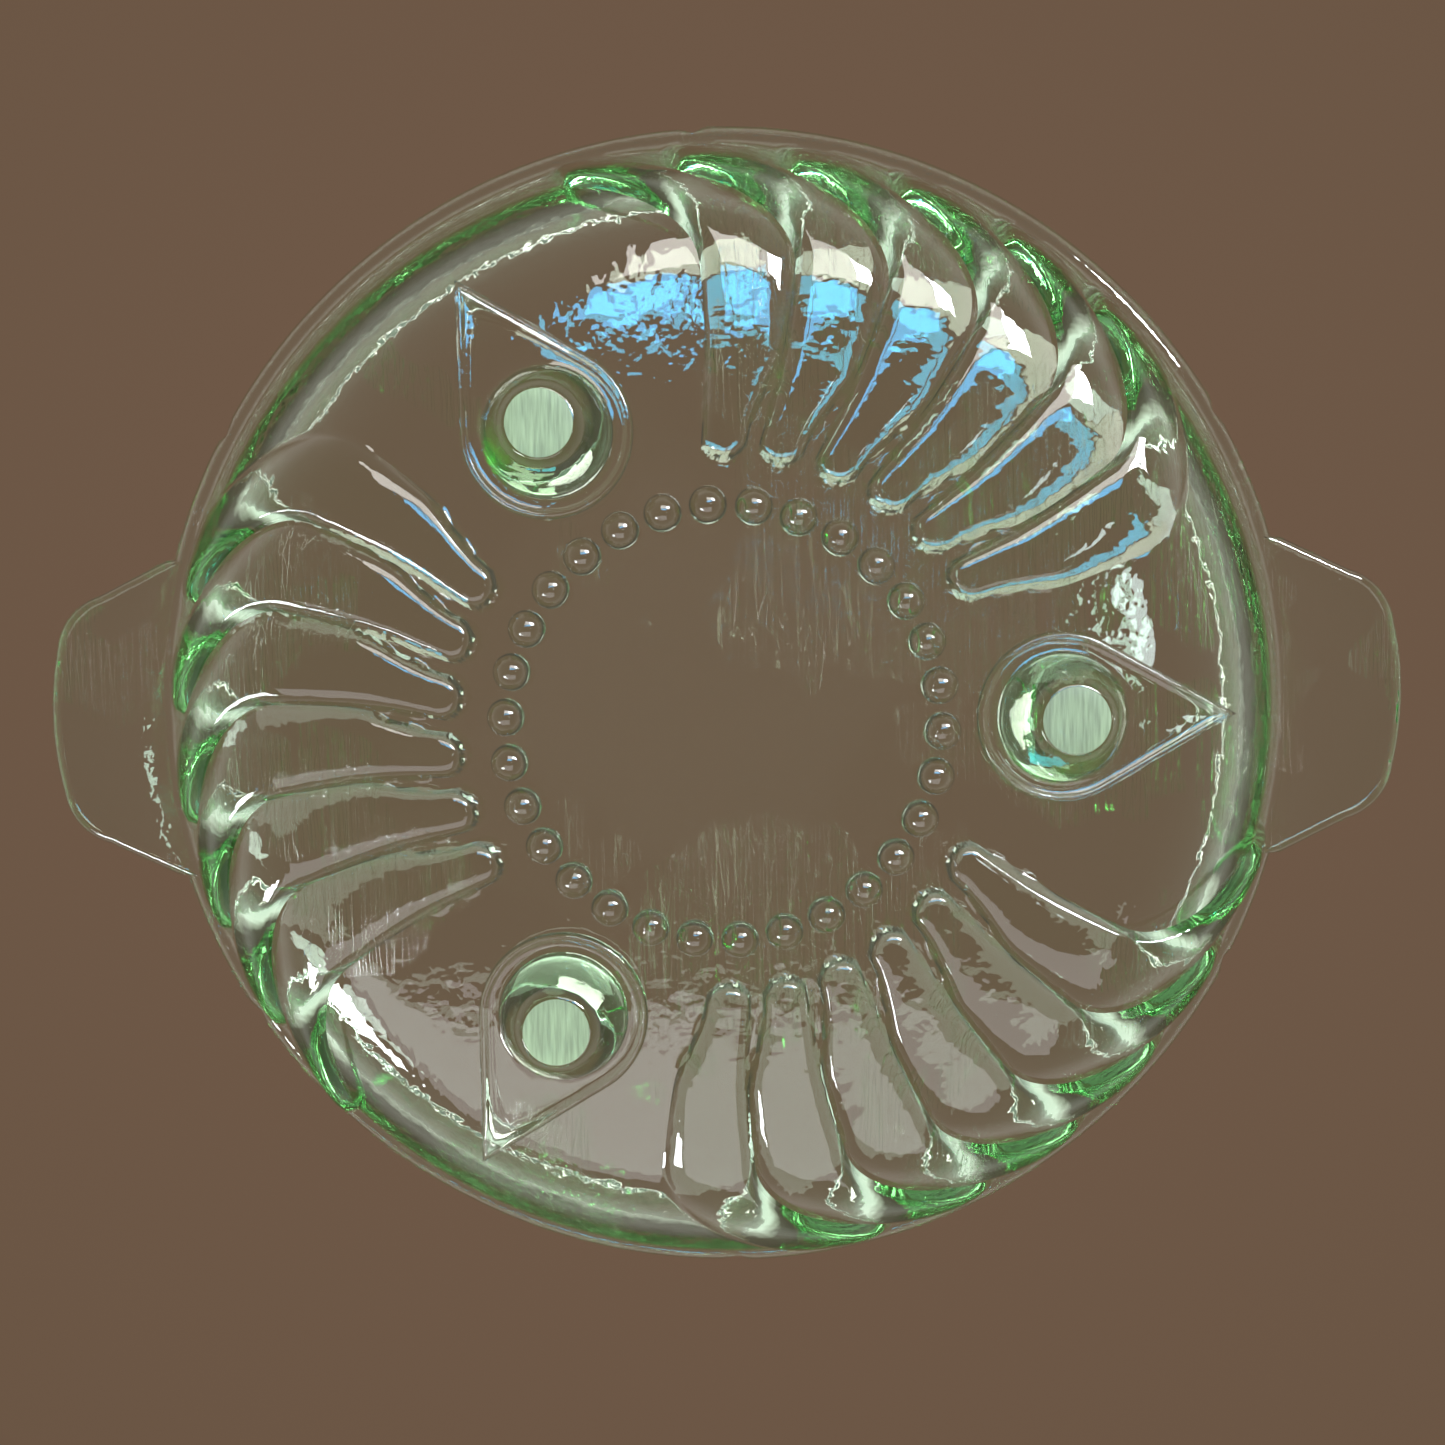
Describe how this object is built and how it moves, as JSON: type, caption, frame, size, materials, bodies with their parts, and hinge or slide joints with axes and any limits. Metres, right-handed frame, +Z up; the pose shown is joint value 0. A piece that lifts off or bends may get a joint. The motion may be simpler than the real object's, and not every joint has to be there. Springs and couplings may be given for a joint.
{
  "type": "footed glass dish",
  "caption": "Round pressed glass fruit dish with swirled fluted panels, a ring of beads under the floor, two flat tab handles and three short feet.",
  "frame": {"origin": "middle of the plane that the foot tips stand on, under the centre of the rim", "axes": "+Z up out of the bowl, +X from one handle to the other"},
  "size_m": [0.28, 0.236, 0.07],
  "materials": {
    "green_glass": "fire-polished clear pale green uranium glass",
    "ground_foot_glass": "pale green uranium glass with ground, frosted flat tips"
  },
  "bodies": {
    "root": {"base_disc": "green_glass", "bead_ring": "green_glass", "rim": "green_glass", "swirl_panel_1": "green_glass", "swirl_panel_2": "green_glass", "swirl_panel_3": "green_glass", "plain_panel_1": "green_glass", "plain_panel_2": "green_glass", "plain_panel_3": "green_glass", "foot_pad_1": "green_glass", "foot_pad_2": "green_glass", "foot_pad_3": "green_glass", "foot_1": "ground_foot_glass", "foot_2": "ground_foot_glass", "foot_3": "ground_foot_glass", "handle_left": "green_glass", "handle_right": "green_glass"}
  },
  "joints": []
}
